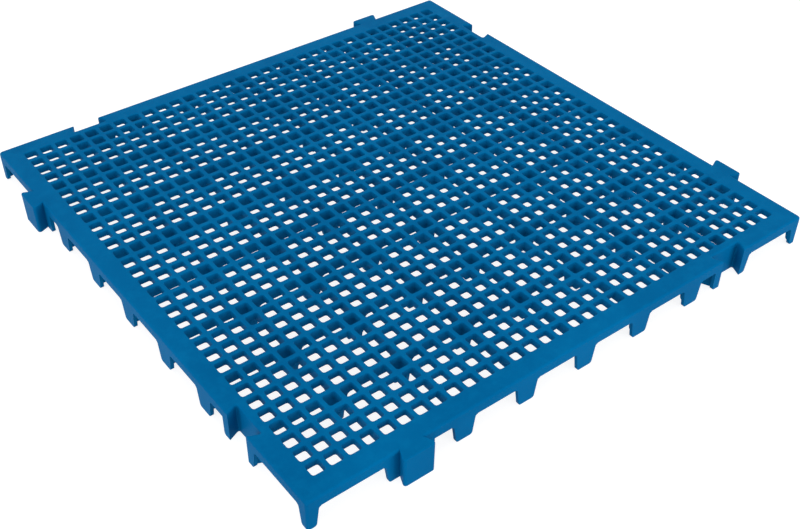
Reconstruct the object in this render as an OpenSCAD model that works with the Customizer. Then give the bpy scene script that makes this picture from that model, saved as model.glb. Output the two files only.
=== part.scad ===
// Modular drainage floor tile: a moulded grate on legs that hooks into its neighbours
// by a dovetail tab and a dovetail notch on each of its four sides.
// Millimetres, +Z up. The origin is on the floor under the middle of the tile.

/* [Tile] */
// Side of the square tile, measured without its tabs
tile_side = 500; // [494:1:520]
// Height from the floor to the walking face
tile_height = 27; // [24:0.5:40]
// Radius of the upright edge at each corner of the tile
corner_r = 3; // [3:0.5:6]
// Radius of the rounded outer edge of the walking face
edge_r = 2; // [0.5:0.5:2.5]

/* [Grate] */
// Side of each square drain hole
hole_side = 11.2; // [10:0.1:11.3]
// Width of the bars between the holes
bar_w = 3.5; // [3:0.1:3.6]
// Depth of the bars and thickness of the border plate
deck_t = 6; // [4:0.5:8]
// Holes from one rib to the next
rib_cells = 4; // [2:1:4]
// Rib bays from the middle of the tile to its side
rib_bays = 4; // [2:1:4]

/* [Ribs and skirt] */
// Depth of the ribs, measured from the walking face
rib_depth = 10; // [9:0.5:14]
// Thickness of the ribs
rib_w = 3.2; // [2:0.1:3.4]
// Depth of the skirt, measured from the walking face
skirt_depth = 9.5; // [9:0.5:12]
// Thickness of the skirt and of the walls round tabs and notches
wall_t = 3; // [2:0.1:4]

/* [Legs] */
// Width of a leg's web where it leaves the rib
leg_top_w = 19; // [18:0.2:24]
// Width of a leg's web on the floor
leg_foot_w = 15; // [10:0.5:17.5]
// Radius of the fillet between a leg and the rib above it
leg_fillet_r = 2; // [0.5:0.5:3]
// Radius of the rounded ends of a leg's foot
foot_r = 1.5; // [0.5:0.5:2.5]
// How far the leg beside each tab and notch reaches from the middle of that tab or notch
hook_leg_reach = 20; // [18:0.5:24]

/* [Tabs and notches] */
// Distance from the middle of a side to the middle of its tab or notch
hook_offset = 164.6; // [150:0.2:180]
// Width of a tab at its outer face
tab_w = 29; // [20:0.5:34]
// How far a tab stands out from the side of the tile
tab_reach = 9.6; // [6:0.2:10]
// How much wider a tab gets on each side from its root to its outer face
tab_flare = 4.2; // [2:0.2:6]
// Radius of the upright outer edges of a tab, and of the back corners of a notch
hook_r = 1.5; // [0.5:0.5:2.5]
// Clearance at each side of a tab in its notch
side_gap = 2.2; // [0.5:0.1:3]
// Clearance between the outer face of a tab and the back of its notch
end_gap = 0.4; // [0.2:0.1:1]

/* [Hidden] */
$fn = 48;
tile_colour = "#0069a4";
cut = 1;

half = tile_side / 2;
pitch = hole_side + bar_w;
rib_pitch = rib_cells * pitch;
holes_half = rib_cells * rib_bays;
deck_z = tile_height - deck_t;
rib_z = tile_height - rib_depth;
skirt_z = tile_height - skirt_depth;

tab_root_w = tab_w - 2 * tab_flare;
notch_mouth_w = tab_root_w + 2 * side_gap;
notch_back_w = tab_w + 2 * side_gap;
notch_depth = tab_reach + end_gap;

// Dovetail on the line y = 0 that opens from root_w to end_w over reach, its outer corners rounded
module dovetail(root_w, end_w, reach, back = 0) {
    slope = (end_w - root_w) / 2 / reach;
    corner_angle = 90 - atan(slope);
    tangent = hook_r / tan(corner_angle / 2);
    for (side = [-1, 1])
        translate([side * (end_w / 2 - tangent), reach - hook_r]) circle(hook_r);
    polygon([
        [-root_w / 2 + slope * back, -back],
        [root_w / 2 - slope * back, -back],
        [end_w / 2 - tangent * cos(corner_angle), reach - tangent * sin(corner_angle)],
        [end_w / 2 - tangent, reach],
        [-end_w / 2 + tangent, reach],
        [-end_w / 2 + tangent * cos(corner_angle), reach - tangent * sin(corner_angle)]
    ]);
}

// Tab outline on the upper side of the quarter; inset moves its walls inward
module tab_outline(inset = 0, back = 0) {
    translate([hook_offset, half])
        dovetail(tab_root_w - 2 * inset, tab_w - 2 * inset, tab_reach - inset, back);
}

// Notch outline on the right side of the quarter; grow moves its walls outward
module notch_outline(grow = 0, back = 0) {
    translate([half, hook_offset]) rotate(90)
        dovetail(notch_mouth_w + 2 * grow, notch_back_w + 2 * grow, notch_depth + grow, back);
}

// Quarter of the tile's plan, without its tab and notch
module quarter_square() {
    square([half - corner_r, half]);
    square([half, half - corner_r]);
    translate([half - corner_r, half - corner_r]) circle(corner_r);
}

// Border plate and bars: the quarter's plan with its drain holes
module deck() {
    translate([0, 0, deck_z])
        linear_extrude(deck_t)
            difference() {
                quarter_square();
                for (i = [0 : holes_half - 1], j = [0 : holes_half - 1])
                    translate([i * pitch + bar_w / 2, j * pitch + bar_w / 2])
                        square(hole_side);
            }
}

// Skirt under the outer sides of the border plate
module skirt() {
    translate([0, 0, skirt_z])
        linear_extrude(skirt_depth - deck_t / 2)
            difference() {
                quarter_square();
                translate([-cut, -cut]) square(half - wall_t + cut);
            }
}

// What the rounded outer edge of the walking face takes off a square one, in section
module edge_waste() {
    translate([-edge_r, -edge_r])
        difference() {
            square(edge_r + cut);
            circle(edge_r);
        }
}

// Cutter for the rounded outer edge of the walking face along both outer sides
module edge_cutter() {
    straight = half - corner_r;
    translate([half, straight, tile_height])
        rotate([90, 0, 0]) linear_extrude(straight + cut) edge_waste();
    translate([-cut, half, tile_height])
        rotate([90, 0, 90]) linear_extrude(straight + cut) edge_waste();
    translate([straight, straight, tile_height])
        rotate_extrude(angle = 90) translate([corner_r, 0]) edge_waste();
}

// Hollow tab, open below and behind, that reaches down to the floor
module tab() {
    difference() {
        linear_extrude(tile_height) tab_outline(back = edge_r + cut);
        translate([0, 0, -cut])
            linear_extrude(deck_z + cut) tab_outline(inset = wall_t, back = edge_r + 2 * cut);
    }
}

// Block round the notch, from the floor up into the border plate
module notch_block() {
    linear_extrude(tile_height - deck_t / 2)
        intersection() {
            notch_outline(grow = wall_t);
            square(half);
        }
}

// Cutter for the notch through everything, from the floor to the walking face
module notch_cutter() {
    translate([0, 0, -cut])
        linear_extrude(tile_height + 2 * cut) notch_outline(back = cut);
}

// Side view of a leg's web, from the floor up into the rib or skirt whose lower edge is at top_z
module leg_profile(top_z) {
    polygon([
        [-leg_foot_w / 2 + foot_r, 0],
        [leg_foot_w / 2 - foot_r, 0],
        [leg_foot_w / 2, foot_r],
        [leg_top_w / 2, top_z],
        [leg_top_w / 2, top_z + cut],
        [-leg_top_w / 2, top_z + cut],
        [-leg_top_w / 2, top_z],
        [-leg_foot_w / 2, foot_r]
    ]);
    for (side = [-1, 1]) {
        translate([side * (leg_foot_w / 2 - foot_r), foot_r]) circle(foot_r);
        translate([side * leg_top_w / 2, top_z])
            difference() {
                translate([side > 0 ? -cut : -leg_fillet_r, -leg_fillet_r])
                    square([leg_fillet_r + cut, leg_fillet_r + cut]);
                translate([side * leg_fillet_r, -leg_fillet_r]) circle(leg_fillet_r);
            }
    }
}

// Upright web of a leg along X, of thickness t, centred on the origin
module leg_web(t, top_z = rib_z) {
    rotate([90, 0, 0])
        translate([0, 0, -t / 2])
            linear_extrude(t) leg_profile(top_z);
}

// Cross-shaped leg under the crossing of two ribs
module leg() {
    leg_web(rib_w);
    rotate(90) leg_web(rib_w);
}

// Ribs with their legs; the ones on the middle lines are shared with the next quarter
module ribs_and_legs() {
    intersection() {
        union() {
            for (k = [0 : rib_bays - 1]) {
                translate([-cut, k * rib_pitch - rib_w / 2, rib_z])
                    cube([half - wall_t / 2 + cut, rib_w, rib_depth - deck_t / 2]);
                translate([k * rib_pitch - rib_w / 2, -cut, rib_z])
                    cube([rib_w, half - wall_t / 2 + cut, rib_depth - deck_t / 2]);
            }
            for (i = [0 : rib_bays - 1], j = [0 : rib_bays - 1])
                translate([i * rib_pitch, j * rib_pitch]) leg();
        }
        cube([half, half, tile_height]);
    }
}

// Leg in the skirt of the upper side at the end of the rib at x, with a web inward along that rib
module skirt_leg(x) {
    translate([x, half - wall_t / 2]) {
        leg_web(wall_t, skirt_z);
        rotate(90) leg_web(rib_w);
    }
}

// Narrow leg in the skirt of the upper side, from near the middle of a tab or notch to its opening
module hook_leg(opening_w) {
    translate([hook_offset - hook_leg_reach, half - wall_t])
        cube([hook_leg_reach - opening_w / 2, wall_t, skirt_z + cut]);
}

// Legs in the skirt at the ends of the ribs, at the corner, and beside the tab and the notch
module skirt_legs() {
    intersection() {
        union() {
            for (k = [0 : rib_bays - 1]) {
                skirt_leg(k * rib_pitch);
                mirror([1, -1, 0]) skirt_leg(k * rib_pitch);
            }
            translate([half, half - wall_t / 2]) leg_web(wall_t, skirt_z);
            translate([half - wall_t / 2, half]) rotate(90) leg_web(wall_t, skirt_z);
            hook_leg(tab_root_w - wall_t);
            mirror([1, -1, 0]) hook_leg(notch_mouth_w);
        }
        linear_extrude(tile_height) quarter_square();
    }
}

// Quarter on the +X +Y side, with the tab of its upper side and the notch of its right side
module grate_quarter() {
    color(tile_colour) {
        difference() {
            union() {
                deck();
                skirt();
                notch_block();
                ribs_and_legs();
                skirt_legs();
            }
            notch_cutter();
            edge_cutter();
        }
        tab();
    }
}

module grate_quarter_ne() {
    grate_quarter();
}

module grate_quarter_nw() {
    rotate(90) grate_quarter();
}

module grate_quarter_sw() {
    rotate(180) grate_quarter();
}

module grate_quarter_se() {
    rotate(270) grate_quarter();
}

grate_quarter_ne();
grate_quarter_nw();
grate_quarter_sw();
grate_quarter_se();
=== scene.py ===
"""Looks of the modular drainage floor tile: one welded moulding, its plastic and the studio.

Lengths are in metres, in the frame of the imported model: the origin is on the floor under the
middle of the tile and +Z is up. The tile is the same at every quarter turn, so whatever stands
on its sides is modelled once, for the side towards +Y or +X, and turned to the other three.
"""

import logging
import math
from collections.abc import Callable, Iterable
from dataclasses import dataclass
from enum import Enum

import bmesh
import bpy
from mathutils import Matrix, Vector


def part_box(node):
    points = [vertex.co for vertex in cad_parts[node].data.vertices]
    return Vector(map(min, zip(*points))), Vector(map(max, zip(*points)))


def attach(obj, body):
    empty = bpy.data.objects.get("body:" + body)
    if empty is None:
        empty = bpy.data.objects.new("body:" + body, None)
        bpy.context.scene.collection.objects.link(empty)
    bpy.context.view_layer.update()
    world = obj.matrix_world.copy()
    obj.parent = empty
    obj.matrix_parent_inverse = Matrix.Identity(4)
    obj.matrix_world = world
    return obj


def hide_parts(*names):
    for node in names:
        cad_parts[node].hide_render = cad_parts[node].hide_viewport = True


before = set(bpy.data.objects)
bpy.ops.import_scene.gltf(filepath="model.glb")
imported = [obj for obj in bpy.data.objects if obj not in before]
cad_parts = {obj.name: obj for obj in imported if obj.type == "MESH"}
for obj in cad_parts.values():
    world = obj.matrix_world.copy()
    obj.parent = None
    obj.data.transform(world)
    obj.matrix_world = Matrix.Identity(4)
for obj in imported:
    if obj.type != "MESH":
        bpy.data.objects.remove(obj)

MM = 0.001
MICRON = 0.001 * MM
# Points nearer than this count as being at the same place.
TOUCH = 0.01 * MM
SIDES = 4
QUARTERS = ("grate_quarter_ne", "grate_quarter_nw", "grate_quarter_sw", "grate_quarter_se")
# Sockets of a Mix node that mixes colours.
MIX_FACTOR, MIX_FIRST, MIX_SECOND, MIX_RESULT = 0, 6, 7, 2

log = logging.getLogger("drainage_tile")

Pair = tuple[float, float]
Triple = tuple[float, float, float]
Place = Callable[[Vector], bool]


class Element(Enum):
    """Part of a mesh that a selection is made of."""

    POINT = "VERT"
    EDGE = "EDGE"
    FACE = "FACE"


class Joint(Enum):
    """Way in which one closed solid changes another."""

    WELD = "UNION"
    CUT = "DIFFERENCE"


class Workbench:
    """Operator steps that every part of the moulding is made with."""

    @staticmethod
    def clear() -> None:
        """Leave edit mode and deselect everything, so that a new primitive stands alone."""
        if bpy.context.object is not None and bpy.context.object.mode != "OBJECT":
            bpy.ops.object.mode_set(mode="OBJECT")
        bpy.ops.object.select_all(action="DESELECT")

    @staticmethod
    def only(obj: bpy.types.Object) -> None:
        """Leave edit mode and make one object the only selected one.

        Args:
            obj: Object that the next operators act on.
        """
        Workbench.clear()
        obj.select_set(True)
        bpy.context.view_layer.objects.active = obj

    @staticmethod
    def edit(obj: bpy.types.Object) -> None:
        """Open one object for editing with all of it selected.

        Args:
            obj: Object that is opened.
        """
        Workbench.only(obj)
        bpy.ops.object.mode_set(mode="EDIT")
        bpy.ops.mesh.select_all(action="SELECT")

    @staticmethod
    def plate(name: str, centre: Triple, width: float, length: float) -> bpy.types.Object:
        """Add a flat rectangle at its size and place and open it for editing.

        Args:
            name: Name of the new object.
            centre: Middle of the rectangle.
            width: Size along X.
            length: Size along Y.

        Returns:
            The new object, in edit mode with its face selected.
        """
        Workbench.clear()
        bpy.ops.mesh.primitive_plane_add(size=1, location=centre)
        return Workbench._open(name, (width, length, 1))

    @staticmethod
    def block(name: str, low: Triple, high: Triple) -> bpy.types.Object:
        """Add a box between two corners and open it for editing.

        Args:
            name: Name of the new object.
            low: Lowest corner.
            high: Highest corner.

        Returns:
            The new object, in edit mode with all of it selected.
        """
        Workbench.clear()
        centre = [(a + b) / 2 for a, b in zip(low, high)]
        bpy.ops.mesh.primitive_cube_add(size=1, location=centre)
        return Workbench._open(name, tuple(b - a for a, b in zip(low, high)))

    @staticmethod
    def _open(name: str, size: Triple) -> bpy.types.Object:
        """Give the new primitive its name and size, put its place in its mesh and edit it.

        Args:
            name: Name of the object and of its mesh.
            size: Size along each axis.

        Returns:
            The new object, in edit mode with all of it selected.
        """
        obj = bpy.context.object
        obj.name = name
        obj.data.name = name
        obj.scale = size
        bpy.ops.object.transform_apply(location=True, rotation=True, scale=True)
        Workbench.edit(obj)
        return obj

    @staticmethod
    def pick(kind: Element, place: Place) -> None:
        """Select what lies wholly at a place in the mesh that is open for editing.

        Args:
            kind: Points, edges or faces.
            place: Says of a point whether it is at the place.

        Raises:
            ValueError: Nothing lies at the place.
        """
        mesh = bpy.context.object.data
        bpy.ops.mesh.select_mode(type=kind.value)
        bpy.ops.mesh.select_all(action="DESELECT")
        shape = bmesh.from_edit_mesh(mesh)
        if kind is Element.POINT:
            chosen = [v for v in shape.verts if place(v.co)]
        else:
            parts = shape.edges if kind is Element.EDGE else shape.faces
            chosen = [p for p in parts if all(place(v.co) for v in p.verts)]
        if not chosen:
            raise ValueError(f"nothing to select on {bpy.context.object.name}")
        for part in chosen:
            part.select_set(True)
        bmesh.update_edit_mesh(mesh)

    @staticmethod
    def pull(
        move: Triple = (0, 0, 0), spread: Triple = (1, 1, 1), about: Triple = (0, 0, 0)
    ) -> None:
        """Extrude the selection, move the new end and scale it about a point.

        Args:
            move: How far the new end goes.
            spread: Scale of the new end along each axis.
            about: Point that the scale leaves in place.
        """
        bpy.ops.mesh.extrude_region_move(TRANSFORM_OT_translate={"value": move})
        bpy.ops.transform.resize(value=spread, center_override=about)

    @staticmethod
    def sink(steps: Iterable[Pair]) -> None:
        """Lead the selected face down in rings, each further in and lower than the last.

        Args:
            steps: How far each ring goes in, and how far down.
        """
        for inward, down in steps:
            bpy.ops.mesh.inset(thickness=inward)
            bpy.ops.transform.translate(value=(0, 0, -down))

    @staticmethod
    def close(obj: bpy.types.Object) -> bpy.types.Object:
        """Turn all faces outwards and leave edit mode.

        Args:
            obj: Closed solid that is open for editing.

        Returns:
            The same object.
        """
        bpy.ops.mesh.select_all(action="SELECT")
        bpy.ops.mesh.normals_make_consistent(inside=False)
        bpy.ops.object.mode_set(mode="OBJECT")
        return obj

    @staticmethod
    def repeat(obj: bpy.types.Object, count: int, step: Triple, sew: bool = False) -> None:
        """Repeat a mesh along a line.

        Args:
            obj: Object whose mesh is repeated.
            count: How many there are in the end.
            step: From one to the next.
            sew: Whether touching points of neighbours become one.
        """
        Workbench.only(obj)
        row = obj.modifiers.new("row", "ARRAY")
        row.count = count
        row.use_relative_offset = False
        row.use_constant_offset = True
        row.constant_offset_displace = step
        row.use_merge_vertices = sew
        row.merge_threshold = TOUCH
        bpy.ops.object.modifier_apply(modifier=row.name)

    @staticmethod
    def turn(obj: bpy.types.Object, quarters: int) -> None:
        """Turn a mesh about the middle of the tile.

        Args:
            obj: Object whose mesh is turned.
            quarters: Number of quarter turns.
        """
        Workbench.edit(obj)
        bpy.ops.transform.rotate(
            value=quarters * math.pi / 2, orient_axis="Z", center_override=(0, 0, 0)
        )
        bpy.ops.object.mode_set(mode="OBJECT")

    @staticmethod
    def turn_round(obj: bpy.types.Object) -> bpy.types.Object:
        """Copy a mesh to the other three sides of the tile and join the copies to it.

        Args:
            obj: Object whose mesh is copied.

        Returns:
            The same object, which now holds all copies.
        """
        copies = []
        for quarters in range(1, SIDES):
            Workbench.only(obj)
            bpy.ops.object.duplicate()
            copies.append(bpy.context.object)
            Workbench.turn(copies[-1], quarters)
        Workbench.only(obj)
        for copy in copies:
            copy.select_set(True)
        bpy.ops.object.join()
        return Workbench.settle(obj)

    @staticmethod
    def settle(obj: bpy.types.Object) -> bpy.types.Object:
        """Put every point on the nearest micrometre, so that flush faces are exactly flush.

        Args:
            obj: Object whose points are moved.

        Returns:
            The same object.
        """
        for point in obj.data.vertices:
            point.co = [round(value / MICRON) * MICRON for value in point.co]
        return obj

    @staticmethod
    def join(body: bpy.types.Object, other: bpy.types.Object, joint: Joint) -> None:
        """Weld a closed solid to the body, or cut it out of it, and use it up.

        Args:
            body: Object that is kept.
            other: Object that is used up.
            joint: Weld or cut.
        """
        Workbench.only(body)
        step = body.modifiers.new("joint", "BOOLEAN")
        step.operation = joint.value
        step.solver = "MANIFOLD"
        step.object = other
        bpy.ops.object.modifier_apply(modifier=step.name)
        log.info("%s %s: %d faces", joint.name.lower(), other.name, len(body.data.polygons))
        bpy.data.objects.remove(other, do_unlink=True)


@dataclass(frozen=True)
class TileSizes:
    """Driving sizes of the tile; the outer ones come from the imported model.

    Attributes:
        half: From the middle of the tile to its sides.
        height: From the floor to the walking face.
        tab_reach: How far a tab stands out from the side.
        hole: Side of a drain hole.
        bar: Width of the bars between the holes.
        deck: Depth of the bars and thickness of the border plate.
        cells: Number of holes each way.
        rib_cells: Number of holes from one rib to the next.
        rib: Thickness of the ribs.
        rib_depth: Depth of the ribs, measured from the walking face.
        skirt_depth: Depth of the skirt, measured from the walking face.
        wall: Thickness of the skirt and of the walls round tabs and notches.
        corner_round: Radius of the upright edge at each corner of the tile.
        edge_round: Radius of the outer edge of the walking face.
        round_facets: Facets of those two.
        hook_offset: From the middle of a side to the middle of its tab or notch.
    """

    half: float
    height: float
    tab_reach: float
    hole: float = 10.8 * MM
    bar: float = 3.9 * MM
    deck: float = 5.8 * MM
    cells: int = 32
    rib_cells: int = 4
    rib: float = 3.3 * MM
    rib_depth: float = 10.4 * MM
    skirt_depth: float = 9.5 * MM
    wall: float = 3 * MM
    corner_round: float = 2 * MM
    edge_round: float = 2 * MM
    round_facets: int = 4
    hook_offset: float = 164.6 * MM

    @classmethod
    def from_frame(cls) -> "TileSizes":
        """Read the outer sizes off the quarter that has its tab towards +Y."""
        _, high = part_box(QUARTERS[0])
        return cls(half=high[0], height=high[2], tab_reach=high[1] - high[0])

    @property
    def pitch(self) -> float:
        """From one drain hole to the next."""
        return self.hole + self.bar

    @property
    def grate_half(self) -> float:
        """From the middle of the tile to the border."""
        return self.cells / 2 * self.pitch

    @property
    def rib_pitch(self) -> float:
        """From one rib to the next."""
        return self.rib_cells * self.pitch

    @property
    def ribs(self) -> int:
        """Number of ribs each way."""
        return self.cells // self.rib_cells - 1

    @property
    def first_rib(self) -> float:
        """Middle line of the first rib, the one nearest to the negative side."""
        return -(self.ribs - 1) / 2 * self.rib_pitch

    @property
    def deck_z(self) -> float:
        """Height of the underside of the bars."""
        return self.height - self.deck

    @property
    def rib_z(self) -> float:
        """Height of the lower edge of the ribs."""
        return self.height - self.rib_depth

    @property
    def skirt_z(self) -> float:
        """Height of the lower edge of the skirt."""
        return self.height - self.skirt_depth

    @property
    def weld_z(self) -> float:
        """Height inside the bars up to which everything below them reaches."""
        return self.height - self.deck / 2


def quarter_round(radius: float, facets: int) -> list[Pair]:
    """Divide a rounded edge that leads from a flat face down into a wall.

    Args:
        radius: Radius of the edge.
        facets: Number of facets.

    Returns:
        For each facet, how far it goes across and how far down.
    """
    angles = [math.pi / 2 * k / facets for k in range(facets + 1)]
    return [
        (radius * (math.sin(b) - math.sin(a)), radius * (math.cos(a) - math.cos(b)))
        for a, b in zip(angles, angles[1:])
    ]


@dataclass(frozen=True)
class GrateShell:
    """The grate, its border plate and the skirt as one closed shell.

    Attributes:
        sizes: Driving sizes of the tile.
        hole_round: Radius of the upright edges of a drain hole.
        hole_edge: Radius of the upper edge of a drain hole.
        hole_facets: Facets of those two.
        hole_draft: Width of a hole at the underside of the bars as a share of its full width.
        lip: Width of the bevels on the lower edges of the skirt.
    """

    sizes: TileSizes
    hole_round: float = 1.5 * MM
    hole_edge: float = 0.6 * MM
    hole_facets: int = 2
    hole_draft: float = 0.97
    lip: float = 0.5 * MM

    def build(self) -> bpy.types.Object:
        """Make one cell, repeat it both ways and lead the rim of the sheet down as the border.

        Returns:
            The closed shell.
        """
        s = self.sizes
        shell = self._cell()
        Workbench.repeat(shell, s.cells, (s.pitch, 0, 0), sew=True)
        Workbench.repeat(shell, s.cells, (0, s.pitch, 0), sew=True)
        Workbench.settle(shell)
        Workbench.edit(shell)
        self._border()
        self._round_corners()
        Workbench.close(shell)
        return Workbench.settle(shell)

    def _cell(self) -> bpy.types.Object:
        """Model one drain hole with the half bars round it.

        Returns:
            The cell at one corner of the grate, open at its four sides.
        """
        s = self.sizes
        first = -s.grate_half + s.pitch / 2
        mouth = s.hole + 2 * self.hole_edge
        cell = Workbench.plate("grate", (first, first, s.height), mouth, mouth)
        bpy.ops.mesh.bevel(
            offset=self.hole_round + self.hole_edge, segments=self.hole_facets, affect="VERTICES"
        )
        Workbench.pick(Element.FACE, lambda p: True)
        Workbench.sink(quarter_round(self.hole_edge, self.hole_facets))
        Workbench.pull(
            (0, 0, self.hole_edge - s.deck),
            (self.hole_draft, self.hole_draft, 1),
            (first, first, s.deck_z),
        )
        bpy.ops.mesh.delete(type="ONLY_FACE")
        for level in (s.height, s.deck_z):
            bpy.ops.mesh.select_all(action="DESELECT")
            bpy.ops.mesh.primitive_plane_add(size=s.pitch, location=(first, first, level))
            bpy.ops.mesh.delete(type="ONLY_FACE")
            Workbench.pick(Element.EDGE, lambda p: abs(p.z - level) < TOUCH)
            bpy.ops.mesh.fill(use_beauty=True)
        return Workbench.close(cell)

    def _border(self) -> None:
        """Extrude the upper rim of the grate out, round and down, and back up to its lower rim."""
        s = self.sizes
        rim = s.grate_half
        Workbench.pick(
            Element.EDGE,
            lambda p: max(abs(p.x), abs(p.y)) > rim - TOUCH and p.z > s.height - TOUCH,
        )
        path = [(s.half - s.edge_round, s.height)]
        for across, down in quarter_round(s.edge_round, s.round_facets):
            path.append((path[-1][0] + across, path[-1][1] - down))
        inner = s.half - s.wall
        path += [
            (s.half, s.skirt_z + self.lip),
            (s.half - self.lip, s.skirt_z),
            (inner + self.lip, s.skirt_z),
            (inner, s.skirt_z + self.lip),
            (inner, s.deck_z),
        ]
        at, level = rim, s.height
        for reach, height in path:
            Workbench.pull((0, 0, height - level), (reach / at, reach / at, 1), (0, 0, height))
            at, level = reach, height
        bpy.ops.mesh.select_all(action="DESELECT")
        bpy.ops.mesh.select_non_manifold(
            extend=False,
            use_wire=False,
            use_multi_face=False,
            use_non_contiguous=False,
            use_verts=False,
        )
        bpy.ops.mesh.bridge_edge_loops()

    def _round_corners(self) -> None:
        """Round the upright edges at the four corners of the tile."""
        s = self.sizes
        outer = s.half - s.edge_round - TOUCH
        Workbench.pick(
            Element.EDGE,
            lambda p: min(abs(p.x), abs(p.y)) > outer and abs(abs(p.x) - abs(p.y)) < TOUCH,
        )
        bpy.ops.mesh.bevel(offset=s.corner_round, segments=s.round_facets, affect="EDGES")


@dataclass(frozen=True)
class RibField:
    """Ribs under the bars, both ways from skirt to skirt.

    Attributes:
        sizes: Driving sizes of the tile.
        edge: Radius of the lower edges.
        facets: Facets of that radius.
        draft: Width of the lower edge as a share of the upper one.
    """

    sizes: TileSizes
    edge: float = 0.4 * MM
    facets: int = 2
    draft: float = 0.97

    def along_x(self, name: str = "ribs_along_x") -> bpy.types.Object:
        """Model one rib along X and repeat it over the tile.

        Args:
            name: Name of the new object.

        Returns:
            All ribs that run along X, as separate closed bars in one mesh.
        """
        s = self.sizes
        end = s.half - s.wall / 2
        line = s.first_rib
        ribs = Workbench.block(
            name, (-end, line - s.rib / 2, s.rib_z), (end, line + s.rib / 2, s.weld_z)
        )
        Workbench.pick(Element.FACE, lambda p: p.z < s.rib_z + TOUCH)
        bpy.ops.transform.resize(value=(1, self.draft, 1), center_override=(0, line, s.rib_z))
        bpy.ops.mesh.bevel(offset=self.edge, segments=self.facets, affect="EDGES")
        Workbench.close(ribs)
        Workbench.repeat(ribs, s.ribs, (0, s.rib_pitch, 0))
        return Workbench.settle(ribs)

    def along_y(self) -> bpy.types.Object:
        """Turn the same ribs to run along Y.

        Returns:
            All ribs that run along Y.
        """
        ribs = self.along_x("ribs_along_y")
        Workbench.turn(ribs, 1)
        return Workbench.settle(ribs)


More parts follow.
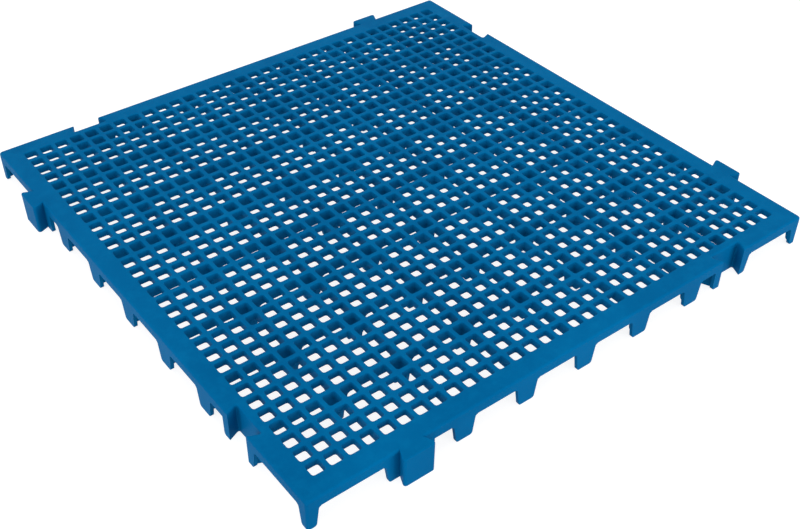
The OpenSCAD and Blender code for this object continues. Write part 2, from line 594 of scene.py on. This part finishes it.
@dataclass(frozen=True)
class Legs:
    """Cross-shaped legs under the ribs, and those in the skirt and at the corners.

    Attributes:
        sizes: Driving sizes of the tile.
        top: Width of a web where it leaves the rib.
        foot: Width of a web on the floor.
        fillet: Radius between a web and the rib above it.
        foot_round: Radius of the ends of the foot.
        facets: Facets of those two radii.
        hook_reach: How far the leg beside a tab or notch reaches from the middle of it.
    """

    sizes: TileSizes
    top: float = 19 * MM
    foot: float = 15 * MM
    fillet: float = 2 * MM
    foot_round: float = 2.2 * MM
    facets: int = 3
    hook_reach: float = 20 * MM

    def crosses(self) -> bpy.types.Object:
        """Set one leg under every crossing of two ribs.

        Returns:
            All these legs.
        """
        s = self.sizes
        at = (s.first_rib, s.first_rib)
        legs = self._web("legs", at, s.rib, s.rib_z)
        crossing = self._web("crossing_web", at, s.rib, s.rib_z, along_y=True)
        Workbench.join(legs, crossing, Joint.WELD)
        Workbench.repeat(legs, s.ribs, (s.rib_pitch, 0, 0))
        Workbench.repeat(legs, s.ribs, (0, s.rib_pitch, 0))
        return Workbench.settle(legs)

    def in_skirt(self) -> bpy.types.Object:
        """Set legs in the skirt at the ends of the ribs.

        Returns:
            These legs on all four sides.
        """
        s = self.sizes
        at = (s.first_rib, s.half - s.wall / 2)
        legs = self._web("skirt_legs", at, s.wall, s.skirt_z)
        inward = self._web("inward_web", at, s.rib, s.rib_z, along_y=True)
        self._trim(inward, (0, s.half, 0), (0, 1, 0))
        Workbench.join(legs, inward, Joint.WELD)
        Workbench.repeat(legs, s.ribs, (s.rib_pitch, 0, 0))
        return Workbench.turn_round(legs)

    def at_corners(self) -> bpy.types.Object:
        """Set an angle leg under each corner.

        Returns:
            The four legs.
        """
        s = self.sizes
        middle = s.half - s.wall / 2
        legs = self._web("corner_legs", (s.half, middle), s.wall, s.skirt_z)
        other = self._web("corner_web", (middle, s.half), s.wall, s.skirt_z, along_y=True)
        self._trim(legs, (s.half, 0, 0), (1, 0, 0))
        self._trim(other, (0, s.half, 0), (0, 1, 0))
        Workbench.join(legs, other, Joint.WELD)
        Workbench.edit(legs)
        Workbench.pick(Element.EDGE, lambda p: min(p.x, p.y) > s.half - TOUCH)
        bpy.ops.mesh.bevel(offset=s.corner_round, segments=s.round_facets, affect="EDGES")
        Workbench.close(legs)
        return Workbench.turn_round(legs)

    def beside_hook(self, name: str, opening: float, on_x_side: bool) -> bpy.types.Object:
        """Set narrow legs in the skirt beside the tabs or the notches.

        Args:
            name: Name of the new object.
            opening: Width that is left open under the tab or notch.
            on_x_side: Whether they stand on the side that has the notch.

        Returns:
            Four legs, one on each side of the tile.
        """
        s = self.sizes
        near, far = s.hook_offset - self.hook_reach, s.hook_offset - opening / 2
        low, high = (near, s.half - s.wall, 0), (far, s.half, s.weld_z)
        if on_x_side:
            low, high = (low[1], low[0], 0), (high[1], high[0], s.weld_z)
        legs = Workbench.block(name, low, high)
        along = 1 if on_x_side else 0
        Workbench.pick(Element.EDGE, lambda p: p[along] < near + TOUCH and p.z < TOUCH)
        bpy.ops.mesh.bevel(offset=self.foot_round, segments=self.facets, affect="EDGES")
        Workbench.close(legs)
        return Workbench.turn_round(legs)

    def _web(
        self, name: str, at: Pair, thick: float, top_z: float, along_y: bool = False
    ) -> bpy.types.Object:
        """Model one web from its foot up: rounded ends, tapered sides, fillets at the rib.

        Args:
            name: Name of the new object.
            at: Place of its middle line.
            thick: Thickness of the web.
            top_z: Height of the lower edge of the rib or skirt above it.
            along_y: Whether it runs along Y and not along X.

        Returns:
            The web as a closed solid.
        """
        outline = self._outline(top_z)
        level, width = outline[0]
        size = (thick, width) if along_y else (width, thick)
        web = Workbench.plate(name, (*at, level), *size)
        for height, wider in outline[1:]:
            share = wider / width
            spread = (1, share, 1) if along_y else (share, 1, 1)
            Workbench.pull((0, 0, height - level), spread, (*at, height))
            level, width = height, wider
        return Workbench.settle(Workbench.close(web))

    def _outline(self, top_z: float) -> list[Pair]:
        """Work out the side view of a web.

        Args:
            top_z: Height of the lower edge of the rib or skirt above it.

        Returns:
            Height and width of the web at each of its rings, from the floor up.
        """
        turns = [math.pi / 2 * k / self.facets for k in range(self.facets + 1)]
        rings = [
            (
                self.foot_round * (1 - math.cos(a)),
                self.foot - 2 * self.foot_round * (1 - math.sin(a)),
            )
            for a in turns
        ]
        rings += [
            (
                top_z - self.fillet * (1 - math.sin(a)),
                self.top + 2 * self.fillet * (1 - math.cos(a)),
            )
            for a in turns
        ]
        return rings + [(self.sizes.weld_z, rings[-1][1])]

    @staticmethod
    def _trim(obj: bpy.types.Object, at: Triple, outward: Triple) -> None:
        """Cut off what stands out beyond a plane and close the cut.

        Args:
            obj: Object that is cut.
            at: Point on the plane.
            outward: Side of the plane that is cut off.
        """
        Workbench.edit(obj)
        bpy.ops.mesh.bisect(plane_co=at, plane_no=outward, use_fill=True, clear_outer=True)
        Workbench.close(obj)


@dataclass(frozen=True)
class Hooks:
    """Dovetail tabs and the walled notches that take them.

    Attributes:
        sizes: Driving sizes of the tile.
        tab: Width of a tab at its outer face.
        flare: How much wider a tab gets on each side from its root.
        side_gap: Clearance at each side of a tab in its notch.
        end_gap: Clearance between a tab and the back of its notch.
        round_edge: Length along each wall that the rounding of a tab's outer edge takes up.
        pocket_round: Length along each wall that the rounding of a notch's corner takes up.
        tab_edge: Radius of the upper edges of a tab.
        soft_edge: Radius of the upper edges of a notch.
        facets: Facets of each of these four.
        draft: Width of a tab on the floor as a share of its width at the top.
        beyond: How far a cutting solid reaches past what it cuts.
    """

    sizes: TileSizes
    tab: float = 29 * MM
    flare: float = 4.2 * MM
    side_gap: float = 2.2 * MM
    end_gap: float = 0.4 * MM
    round_edge: float = 3.4 * MM
    pocket_round: float = 5 * MM
    tab_edge: float = 0.8 * MM
    soft_edge: float = 1.8 * MM
    facets: int = 4
    draft: float = 0.97
    beyond: float = 2 * MM

    @property
    def root(self) -> float:
        """Width of a tab where it leaves the side."""
        return self.tab - 2 * self.flare

    @property
    def mouth(self) -> float:
        """Width of a notch at the side of the tile."""
        return self.root + 2 * self.side_gap

    @property
    def slope(self) -> float:
        """Sideways run of a flank for each metre outwards."""
        return self.flare / self.sizes.tab_reach

    def tabs(self) -> bpy.types.Object:
        """Model one hollow tab, open below and behind, and turn it to all sides.

        Returns:
            The four tabs.
        """
        s = self.sizes
        back = s.half - s.edge_round - s.wall
        front = s.half + s.tab_reach
        tabs = self._dovetail("tabs", back, front, 0, s.height, 0)
        for side in (1, -1):
            Workbench.pick(
                Element.EDGE,
                lambda p: p.y > front - TOUCH and side * (p.x - s.hook_offset) > 0,
            )
            bpy.ops.mesh.bevel(offset=self.round_edge, segments=self.facets, affect="EDGES")
        Workbench.pick(Element.EDGE, lambda p: p.z > s.height - TOUCH)
        bpy.ops.mesh.bevel(offset=self.tab_edge, segments=self.facets, affect="EDGES")
        Workbench.pick(Element.POINT, lambda p: p.z < TOUCH)
        bpy.ops.transform.resize(
            value=(self.draft, 1, 1), center_override=(s.hook_offset, s.half, 0)
        )
        Workbench.close(tabs)
        hollow = self._dovetail(
            "tab_hollow", back - s.wall, front - s.wall, -self.beyond, s.deck_z, s.wall
        )
        Workbench.close(hollow)
        Workbench.join(tabs, hollow, Joint.CUT)
        return Workbench.turn_round(tabs)

    def _dovetail(
        self, name: str, back: float, front: float, low: float, high: float, inset: float
    ) -> bpy.types.Object:
        """Add a block that flares towards +Y as a tab does.

        Args:
            name: Name of the new object.
            back: Y of its inner end.
            front: Y of its outer end.
            low: Height of its lower face.
            high: Height of its upper face.
            inset: How far its flanks lie inside those of the tab.

        Returns:
            The block, in edit mode.
        """
        s = self.sizes
        narrow = self.root / 2 - inset + self.slope * (back - s.half)
        wide = self.root / 2 - inset + self.slope * (front - s.half)
        x = s.hook_offset
        block = Workbench.block(name, (x - narrow, back, low), (x + narrow, front, high))
        Workbench.pick(Element.FACE, lambda p: p.y > front - TOUCH)
        bpy.ops.transform.resize(value=(wide / narrow, 1, 1), center_override=(x, front, 0))
        return block

    def pocket_walls(self) -> bpy.types.Object:
        """Model the block round a notch, from the floor up into the border.

        Returns:
            The four blocks.
        """
        s = self.sizes
        back = s.half - s.tab_reach - self.end_gap - s.wall
        walls = self._notch_plan("pocket_walls", back, s.half, s.wall)
        Workbench.pull((0, 0, s.weld_z))
        Workbench.close(walls)
        return Workbench.turn_round(walls)

    def notch_cutters(self) -> bpy.types.Object:
        """Model the solid that cuts a notch, wider at the walking face for a soft upper edge.

        Returns:
            The four solids.
        """
        s = self.sizes
        inner = s.half - s.tab_reach - self.end_gap
        cutters = self._notch_plan(
            "notches", inner - self.soft_edge, s.half + self.beyond, self.soft_edge
        )
        Workbench.pick(Element.POINT, lambda p: p.x < inner)
        bpy.ops.mesh.bevel(offset=self.pocket_round, segments=self.facets, affect="VERTICES")
        Workbench.pick(Element.FACE, lambda p: True)
        bpy.ops.transform.translate(value=(0, 0, s.height + self.beyond))
        Workbench.pull((0, 0, -self.beyond))
        Workbench.sink(quarter_round(self.soft_edge, self.facets))
        Workbench.pull((0, 0, self.soft_edge - s.height - self.beyond))
        Workbench.close(cutters)
        return Workbench.turn_round(cutters)

    def _notch_plan(
        self, name: str, back: float, front: float, grow: float
    ) -> bpy.types.Object:
        """Lay a notch's plan on the floor, on the side towards +X.

        Args:
            name: Name of the new object.
            back: X of its inner end.
            front: X of its outer end.
            grow: How far its flanks lie outside those of the notch.

        Returns:
            The flat shape, in edit mode and all selected.
        """
        s = self.sizes
        plan = Workbench.plate(name, (0, 0, 0), 1, 1)
        for end, x in ((-0.5, back), (0.5, front)):
            half_width = self.mouth / 2 + grow + self.slope * (s.half - x)
            Workbench.pick(Element.POINT, lambda p: abs(p.x - end) < TOUCH)
            bpy.ops.transform.resize(value=(1, 2 * half_width, 1), center_override=(0, 0, 0))
            bpy.ops.transform.translate(value=(x - end, s.hook_offset, 0))
        bpy.ops.mesh.select_all(action="SELECT")
        return plan


def add_node(
    tree: bpy.types.NodeTree, kind: str, values: dict[str, float]
) -> bpy.types.Node:
    """Add a node and set the inputs that stay constant.

    Args:
        tree: Nodes of a material or of the world.
        kind: Type of the node.
        values: Value of each such input.

    Returns:
        The new node.
    """
    node = tree.nodes.new(kind)
    for name, value in values.items():
        node.inputs[name].default_value = value
    return node


@dataclass(frozen=True)
class MouldedPlastic:
    """Satin blue polypropylene with a fine moulded grain, scuffed a little on top.

    Attributes:
        base: Colour of the plastic.
        pale: Colour of rubbed plastic.
        deep: Colour in the slow drift of the pigment.
        gloss: Roughness of untouched and of rubbed plastic.
        ior: Index of refraction.
        shine: Strength of the surface reflection.
        shine_tint: Colour of the surface reflection.
        flow_scale: Drifts of the pigment in a metre.
        flow_detail: Octaves of the drift.
        flow_range: Where in the noise the deep colour ends and the base colour starts.
        scuff_scale: Scuffs in a metre.
        scuff_detail: Octaves of the scuffs.
        scuff_rough: Strength of each octave as a share of the one before.
        scuff_range: Where in the noise the rubbing starts and where it is full.
        scuff_most: Share of the pale colour where the rubbing is full.
        scuff_depth: How far below the walking face the rubbing ends.
        grain_scale: Grains of the moulded texture in a metre.
        grain_detail: Octaves of the grain.
        grain_strength: Strength of its bumps.
        grain_depth: Height of its bumps.
    """

    base: Triple = (0.0002, 0.122, 0.310)
    pale: Triple = (0.0010, 0.158, 0.368)
    deep: Triple = (0.0001, 0.102, 0.268)
    gloss: Pair = (0.46, 0.34)
    ior: float = 1.49
    shine: float = 0.012
    shine_tint: Triple = (0.01, 0.42, 0.85)
    flow_scale: float = 14.0
    flow_detail: float = 3.0
    flow_range: Pair = (0.3, 0.62)
    scuff_scale: float = 90.0
    scuff_detail: float = 6.0
    scuff_rough: float = 0.7
    scuff_range: Pair = (0.45, 0.75)
    scuff_most: float = 0.5
    scuff_depth: float = 1 * MM
    grain_scale: float = 1600.0
    grain_detail: float = 2.0
    grain_strength: float = 0.3
    grain_depth: float = 0.06 * MM

    def material(self, top: float) -> bpy.types.Material:
        """Build the node material.

        Args:
            top: Height of the walking face.

        Returns:
            The new material.
        """
        made = bpy.data.materials.new("moulded_plastic")
        made.use_nodes = True
        tree, links = made.node_tree, made.node_tree.links
        shader = tree.nodes["Principled BSDF"]
        shader.inputs["IOR"].default_value = self.ior
        shader.inputs["Specular IOR Level"].default_value = self.shine
        shader.inputs["Specular Tint"].default_value = (*self.shine_tint, 1)
        place = tree.nodes.new("ShaderNodeTexCoord").outputs["Object"]

        wear = self._wear(tree, place, top)
        colour = tree.nodes.new("ShaderNodeMix")
        colour.data_type = "RGBA"
        colour.inputs[MIX_SECOND].default_value = (*self.pale, 1)
        links.new(wear, colour.inputs[MIX_FACTOR])
        links.new(self._pigment(tree, place), colour.inputs[MIX_FIRST])
        links.new(colour.outputs[MIX_RESULT], shader.inputs["Base Color"])

        untouched, rubbed = self.gloss
        sheen = add_node(tree, "ShaderNodeMapRange", {"To Min": untouched, "To Max": rubbed})
        links.new(wear, sheen.inputs["Value"])
        links.new(sheen.outputs["Result"], shader.inputs["Roughness"])
        links.new(self._grain(tree, place), shader.inputs["Normal"])
        return made

    def _pigment(
        self, tree: bpy.types.NodeTree, place: bpy.types.NodeSocket
    ) -> bpy.types.NodeSocket:
        """Let the colour drift slowly between the deep and the base one.

        Args:
            tree: Nodes of the material.
            place: Object coordinates.

        Returns:
            Colour of the untouched plastic.
        """
        drift = add_node(
            tree, "ShaderNodeTexNoise", {"Scale": self.flow_scale, "Detail": self.flow_detail}
        )
        tree.links.new(place, drift.inputs["Vector"])
        pigment = tree.nodes.new("ShaderNodeValToRGB")
        shades = zip(pigment.color_ramp.elements, self.flow_range, (self.deep, self.base))
        for stop, position, shade in shades:
            stop.position = position
            stop.color = (*shade, 1)
        tree.links.new(drift.outputs["Fac"], pigment.inputs["Fac"])
        return pigment.outputs["Color"]

    def _wear(
        self, tree: bpy.types.NodeTree, place: bpy.types.NodeSocket, top: float
    ) -> bpy.types.NodeSocket:
        """Rub the walking face in scuffs and leave everything below it untouched.

        Args:
            tree: Nodes of the material.
            place: Object coordinates.
            top: Height of the walking face.

        Returns:
            How much the plastic is rubbed.
        """
        links = tree.links
        scuff = add_node(
            tree,
            "ShaderNodeTexNoise",
            {
                "Scale": self.scuff_scale,
                "Detail": self.scuff_detail,
                "Roughness": self.scuff_rough,
            },
        )
        links.new(place, scuff.inputs["Vector"])
        height = tree.nodes.new("ShaderNodeSeparateXYZ")
        links.new(place, height.inputs["Vector"])
        on_top = add_node(
            tree,
            "ShaderNodeMapRange",
            {"From Min": top - self.scuff_depth, "From Max": top, "To Max": self.scuff_most},
        )
        links.new(height.outputs["Z"], on_top.inputs["Value"])
        start, full = self.scuff_range
        rubbed = add_node(tree, "ShaderNodeMapRange", {"From Min": start, "From Max": full})
        links.new(scuff.outputs["Fac"], rubbed.inputs["Value"])
        wear = tree.nodes.new("ShaderNodeMath")
        wear.operation = "MULTIPLY"
        links.new(on_top.outputs["Result"], wear.inputs[0])
        links.new(rubbed.outputs["Result"], wear.inputs[1])
        return wear.outputs["Value"]

    def _grain(
        self, tree: bpy.types.NodeTree, place: bpy.types.NodeSocket
    ) -> bpy.types.NodeSocket:
        """Raise the fine grain of the mould.

        Args:
            tree: Nodes of the material.
            place: Object coordinates.

        Returns:
            Normal of the grained surface.
        """
        grain = add_node(
            tree, "ShaderNodeTexNoise", {"Scale": self.grain_scale, "Detail": self.grain_detail}
        )
        tree.links.new(place, grain.inputs["Vector"])
        bump = add_node(
            tree,
            "ShaderNodeBump",
            {"Strength": self.grain_strength, "Distance": self.grain_depth},
        )
        tree.links.new(grain.outputs["Fac"], bump.inputs["Height"])
        return bump.outputs["Normal"]


@dataclass(frozen=True)
class FloorTile:
    """The whole tile, welded from its parts as the one moulding that it is.

    Attributes:
        sizes: Driving sizes of the tile.
        finish: Its plastic.
        smooth_under: Angle in degrees below which two faces are shaded as one.
    """

    sizes: TileSizes
    finish: MouldedPlastic
    smooth_under: float = 35.0

    def build(self) -> bpy.types.Object:
        """Weld the parts, cut the notches, smooth the shading and dress the piece.

        Returns:
            The finished piece.
        """
        s = self.sizes
        ribs, legs, hooks = RibField(s), Legs(s), Hooks(s)
        tile = GrateShell(s).build()
        tile.name = tile.data.name = "drainage_tile"
        for make in (
            ribs.along_x,
            ribs.along_y,
            legs.crosses,
            legs.in_skirt,
            legs.at_corners,
            lambda: legs.beside_hook("tab_legs", hooks.root - s.wall, on_x_side=False),
            lambda: legs.beside_hook("notch_legs", hooks.mouth, on_x_side=True),
            hooks.pocket_walls,
            hooks.tabs,
        ):
            Workbench.join(tile, make(), Joint.WELD)
        Workbench.join(tile, hooks.notch_cutters(), Joint.CUT)
        self._finish(tile)
        return tile

    def _finish(self, tile: bpy.types.Object) -> None:
        """Clean the welds, smooth the shading and dress and place the piece.

        Args:
            tile: The welded tile.
        """
        Workbench.edit(tile)
        bpy.ops.mesh.remove_doubles(threshold=MICRON)
        bpy.ops.mesh.dissolve_degenerate(threshold=MICRON)
        bpy.ops.object.mode_set(mode="OBJECT")
        bpy.ops.object.shade_smooth_by_angle(angle=math.radians(self.smooth_under))
        even = tile.modifiers.new("even", "WEIGHTED_NORMAL")
        even.keep_sharp = True
        bpy.ops.object.modifier_apply(modifier=even.name)
        tile.data.materials.clear()
        tile.data.materials.append(self.finish.material(self.sizes.height))
        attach(tile, "root")
        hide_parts(*QUARTERS)


@dataclass(frozen=True)
class Softbox:
    """Soft square light that faces the middle of the tile.

    Attributes:
        name: Name of the light.
        at: Middle of the square.
        side: Side of the square.
        watts: Power of the light.
    """

    name: str
    at: Triple
    side: float
    watts: float

    def hang(self) -> None:
        """Add the light to the scene."""
        lamp = bpy.data.lights.new(self.name, "AREA")
        lamp.size = self.side
        lamp.energy = self.watts
        light = bpy.data.objects.new(self.name, lamp)
        light.location = self.at
        light.rotation_euler = (-Vector(self.at)).to_track_quat("-Z", "Y").to_euler()
        bpy.context.collection.objects.link(light)


@dataclass(frozen=True)
class Studio:
    """Pale floor, soft light and the camera at the photograph's angle.

    Attributes:
        floor_side: Side of the square floor.
        floor_grey: Brightness of its surface.
        floor_glow: Strength of its own light.
        floor_rough: Roughness of its surface.
        floor_shine: Strength of its reflection.
        softboxes: Lights that stand round the tile.
        sky_stops: Shares of the way from straight down to straight up, with the sky's
            brightness at each: dark below, white at the horizon.
        eye: Place of the camera.
        look: Turn of the camera about each axis, in degrees.
        lens: Focal length, in millimetres.
        sensor: Width of the sensor, in millimetres.
        shift: Shift of the picture to the right and up, as shares of its width.
        near_clip: Distance from which the camera sees.
    """

    floor_side: float = 80.0
    floor_grey: float = 0.3
    floor_glow: float = 0.85
    floor_rough: float = 0.9
    floor_shine: float = 0.1
    softboxes: tuple[Softbox, ...] = (
        Softbox("left_softbox", (-1.6, -0.35, 0.3), 0.9, 9),
        Softbox("right_softbox", (0.35, -1.6, 0.3), 0.9, 11),
        Softbox("overhead", (0.3, 0.5, 1.9), 1.8, 8),
    )
    sky_stops: tuple[Pair, ...] = (
        (0.12, 0),
        (0.13, 0.78),
        (0.42, 0.78),
        (0.48, 1),
        (0.58, 1),
        (0.66, 0.78),
    )
    eye: Triple = (-0.47984, -0.64493, 0.60202)
    look: Triple = (50.2528, 0.0, -37.1703)
    lens: float = 50.797
    sensor: float = 36.0
    shift: Pair = (0.00852, 0.00087)
    near_clip: float = 0.01

    def build(self) -> None:
        """Add the floor, the lights, the sky and the camera."""
        self._floor()
        for softbox in self.softboxes:
            softbox.hang()
        self._sky()
        self._camera()

    def _floor(self) -> None:
        """Lay a plain pale floor that glows a little, as on a light table."""
        Workbench.clear()
        bpy.ops.mesh.primitive_plane_add(size=self.floor_side)
        floor = bpy.context.object
        floor.name = "studio_floor"
        pale = bpy.data.materials.new("pale_floor")
        pale.use_nodes = True
        shader = pale.node_tree.nodes["Principled BSDF"]
        shader.inputs["Base Color"].default_value = (*[self.floor_grey] * 3, 1)
        shader.inputs["Roughness"].default_value = self.floor_rough
        shader.inputs["Specular IOR Level"].default_value = self.floor_shine
        shader.inputs["Emission Color"].default_value = (1, 1, 1, 1)
        shader.inputs["Emission Strength"].default_value = self.floor_glow
        floor.data.materials.append(pale)
        floor.visible_diffuse = False

    def _sky(self) -> None:
        """Give even white light from all round but straight below, whiter at the horizon."""
        world = bpy.context.scene.world or bpy.data.worlds.new("studio")
        bpy.context.scene.world = world
        world.use_nodes = True
        tree, links = world.node_tree, world.node_tree.links
        place = tree.nodes.new("ShaderNodeTexCoord").outputs["Generated"]
        height = tree.nodes.new("ShaderNodeSeparateXYZ")
        links.new(place, height.inputs["Vector"])
        share = add_node(tree, "ShaderNodeMapRange", {"From Min": -1})
        links.new(height.outputs["Z"], share.inputs["Value"])
        bands = tree.nodes.new("ShaderNodeValToRGB")
        elements = bands.color_ramp.elements
        for index, (position, grey) in enumerate(self.sky_stops):
            stop = elements[index] if index < len(elements) else elements.new(position)
            stop.position = position
            stop.color = (grey, grey, grey, 1)
        links.new(share.outputs["Result"], bands.inputs["Fac"])
        links.new(bands.outputs["Color"], tree.nodes["Background"].inputs["Color"])

    def _camera(self) -> None:
        """Set the camera where the photograph was taken from."""
        data = bpy.data.cameras.new("photo_camera")
        data.sensor_width = self.sensor
        data.lens = self.lens
        data.shift_x, data.shift_y = self.shift
        data.clip_start = self.near_clip
        camera = bpy.data.objects.new("photo_camera", data)
        camera.location = self.eye
        camera.rotation_euler = [math.radians(a) for a in self.look]
        bpy.context.collection.objects.link(camera)
        bpy.context.scene.camera = camera
        bpy.context.scene.view_settings.view_transform = "Standard"


def main() -> None:
    """Build the tile and the studio round it, and report the piece."""
    logging.basicConfig(level=logging.INFO, format="%(name)s: %(message)s")
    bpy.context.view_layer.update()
    tile = FloorTile(TileSizes.from_frame(), MouldedPlastic()).build()
    tile.data.calc_loop_triangles()
    log.info("%s: %d triangles", tile.name, len(tile.data.loop_triangles))
    Studio().build()


if __name__ == "__main__":
    main()
